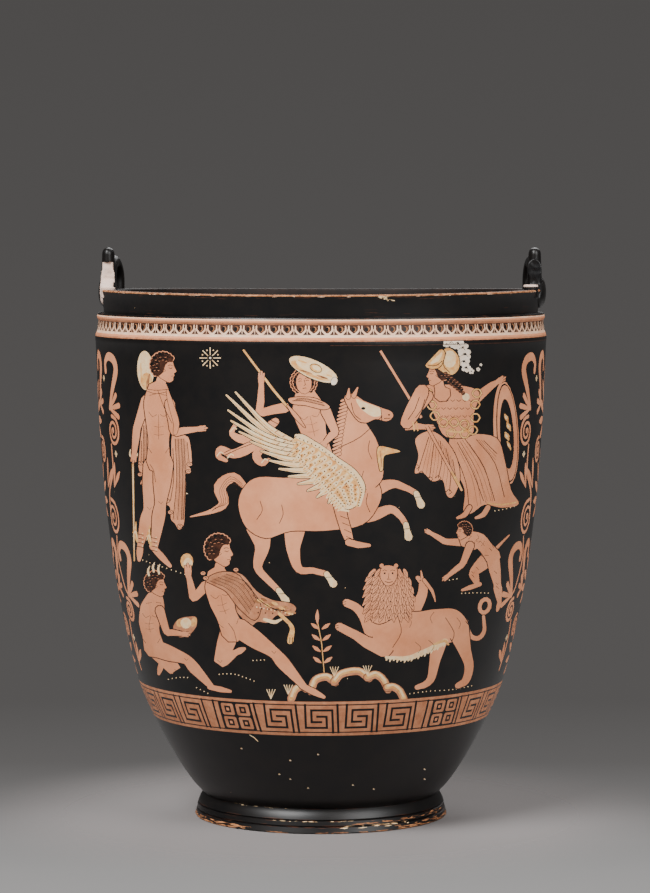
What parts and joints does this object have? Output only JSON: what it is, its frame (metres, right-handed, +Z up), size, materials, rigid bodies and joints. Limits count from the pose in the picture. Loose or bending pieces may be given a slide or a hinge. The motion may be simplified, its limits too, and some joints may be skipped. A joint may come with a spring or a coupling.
{
  "type": "situla",
  "caption": "Deep turned clay bucket on a low ring foot, with a moulded rim, a black glaze with painted figure and meander bands, and the remains of looped lugs on the rim.",
  "frame": {"origin": "middle of the foot's underside, on the surface that the vessel stands on", "axes": "+Z up through the mouth, the two lugs stand over the X axis, and the main picture faces -Y"},
  "size_m": [0.2374, 0.2374, 0.3],
  "materials": {
    "glazed_clay": "satin black slip over fired orange clay, with reserved clay figures and added white and yellow"
  },
  "bodies": {
    "root": {"situla": "glazed_clay"}
  },
  "joints": []
}
